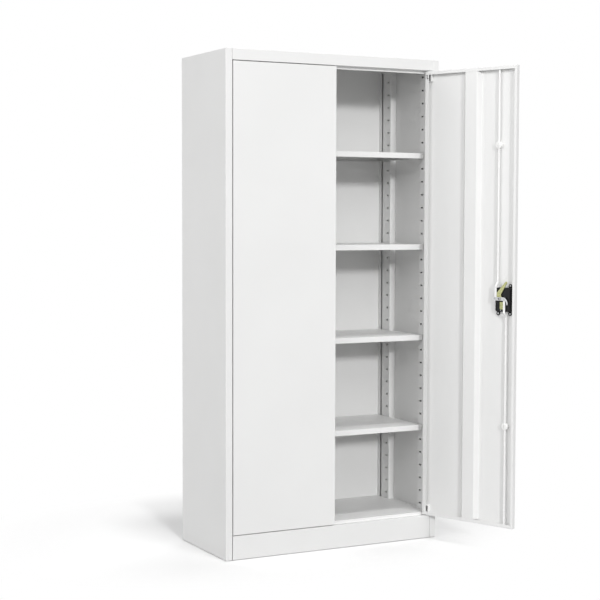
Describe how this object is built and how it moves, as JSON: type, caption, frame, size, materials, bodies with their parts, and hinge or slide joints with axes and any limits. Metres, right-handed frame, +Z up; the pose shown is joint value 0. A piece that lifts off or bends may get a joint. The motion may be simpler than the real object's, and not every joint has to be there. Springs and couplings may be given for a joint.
{
  "type": "storage cabinet",
  "caption": "Tall white steel storage cupboard with hinged double doors, adjustable shelves on slotted posts and a rod lock worked by a recessed turn handle.",
  "frame": {"origin": "on the floor at mid-width, in the middle of the underside of the plinth's floor flange", "axes": "+Z up, +Y from the doors to the back, +X to the right seen from the front"},
  "size_m": [1.0134, 0.7735, 1.85],
  "materials": {
    "white_paint": "satin white powder coat with a fine orange peel",
    "zinc_plate": "bright zinc plating",
    "yellow_zinc_plate": "yellow passivated zinc plating",
    "black_plastic": "fine spark-textured moulding",
    "white_plastic": "smooth moulding",
    "nickel_plate": "turned and nickel plated"
  },
  "bodies": {
    "carcass": {"left_side_panel": "white_paint", "right_side_panel": "white_paint", "top_panel": "white_paint", "bottom_panel": "white_paint", "back_panel": "white_paint", "front_left_post": "white_paint", "rear_left_post": "white_paint", "front_right_post": "white_paint", "rear_right_post": "white_paint", "shelf_1": "white_paint", "shelf_2": "white_paint", "shelf_3": "white_paint", "shelf_4": "white_paint", "shelf_1_front_left_clip": "zinc_plate", "shelf_1_front_right_clip": "zinc_plate", "shelf_1_rear_left_clip": "zinc_plate", "shelf_1_rear_right_clip": "zinc_plate", "shelf_2_front_left_clip": "zinc_plate", "shelf_2_front_right_clip": "zinc_plate", "shelf_2_rear_left_clip": "zinc_plate", "shelf_2_rear_right_clip": "zinc_plate", "shelf_3_front_left_clip": "zinc_plate", "shelf_3_front_right_clip": "zinc_plate", "shelf_3_rear_left_clip": "zinc_plate", "shelf_3_rear_right_clip": "zinc_plate", "shelf_4_front_left_clip": "zinc_plate", "shelf_4_front_right_clip": "zinc_plate", "shelf_4_rear_left_clip": "zinc_plate", "shelf_4_rear_right_clip": "zinc_plate"},
    "left_door": {"left_door": "white_paint", "left_door_stiffener": "white_paint", "left_upper_hinge_bracket": "white_paint", "left_lower_hinge_bracket": "white_paint", "left_lower_hinge_pin": "zinc_plate", "left_hinge_spring": "zinc_plate"},
    "right_door": {"right_door": "white_paint", "right_door_stiffener": "white_paint", "right_upper_hinge_bracket": "white_paint", "right_lower_hinge_bracket": "white_paint", "right_lower_hinge_pin": "zinc_plate", "right_hinge_spring": "zinc_plate", "lock_housing": "black_plastic", "lock_screw_1": "zinc_plate", "lock_screw_2": "zinc_plate", "key_clamp": "yellow_zinc_plate", "upper_rod_guide": "white_plastic", "lower_rod_guide": "white_plastic"},
    "left_hinge_bolt": {"left_upper_hinge_bolt": "zinc_plate"},
    "right_hinge_bolt": {"right_upper_hinge_bolt": "zinc_plate"},
    "handle": {"turn_handle": "black_plastic", "latch_lever": "yellow_zinc_plate", "rocker_plate": "zinc_plate", "spindle_nut": "zinc_plate"},
    "key": {"key_plug": "nickel_plate"},
    "upper_rod": {"upper_lock_rod": "white_paint"},
    "lower_rod": {"lower_lock_rod": "white_paint"}
  },
  "joints": [
    {"name": "left_door_swing", "type": "hinge", "parent": "carcass", "child": "left_door", "pos_m": [-0.4105, -0.0035, 0.95], "axis": [0, 0, -1], "range_deg": [0, 114]},
    {"name": "right_door_swing", "type": "hinge", "parent": "carcass", "child": "right_door", "pos_m": [0.4105, -0.0035, 0.95], "axis": [0, 0, 1], "range_deg": [-111, 3]},
    {"name": "handle_turn", "type": "hinge", "parent": "right_door", "child": "handle", "pos_m": [0.52433, -0.32935, 0.947], "axis": [0.9336, 0.3584, 0], "range_deg": [0, 50]},
    {"name": "key_turn", "type": "hinge", "parent": "right_door", "child": "key", "pos_m": [0.52756, -0.33775, 0.922], "axis": [0.9336, 0.3584, 0], "range_deg": [0, 90]},
    {"name": "upper_rod_slide", "type": "slide", "parent": "right_door", "child": "upper_rod", "axis": [0, 0, 1], "range_m": [0, 0.015]},
    {"name": "lower_rod_slide", "type": "slide", "parent": "right_door", "child": "lower_rod", "axis": [0, 0, -1], "range_m": [0, 0.015]},
    {"name": "left_bolt_slide", "type": "slide", "parent": "left_door", "child": "left_hinge_bolt", "axis": [0, 0, -1], "range_m": [0, 0.013], "stiffness_N_per_m": 300, "springref_m": -0.008, "deforming": ["left_hinge_spring"]},
    {"name": "right_bolt_slide", "type": "slide", "parent": "right_door", "child": "right_hinge_bolt", "axis": [0, 0, -1], "range_m": [0, 0.013], "stiffness_N_per_m": 300, "springref_m": -0.008, "deforming": ["right_hinge_spring"]}
  ],
  "couplings": [
    {"joint": "handle_turn", "follows": "upper_rod_slide", "rad_per_m": 58.17},
    {"joint": "lower_rod_slide", "follows": "upper_rod_slide", "ratio": 1}
  ]
}
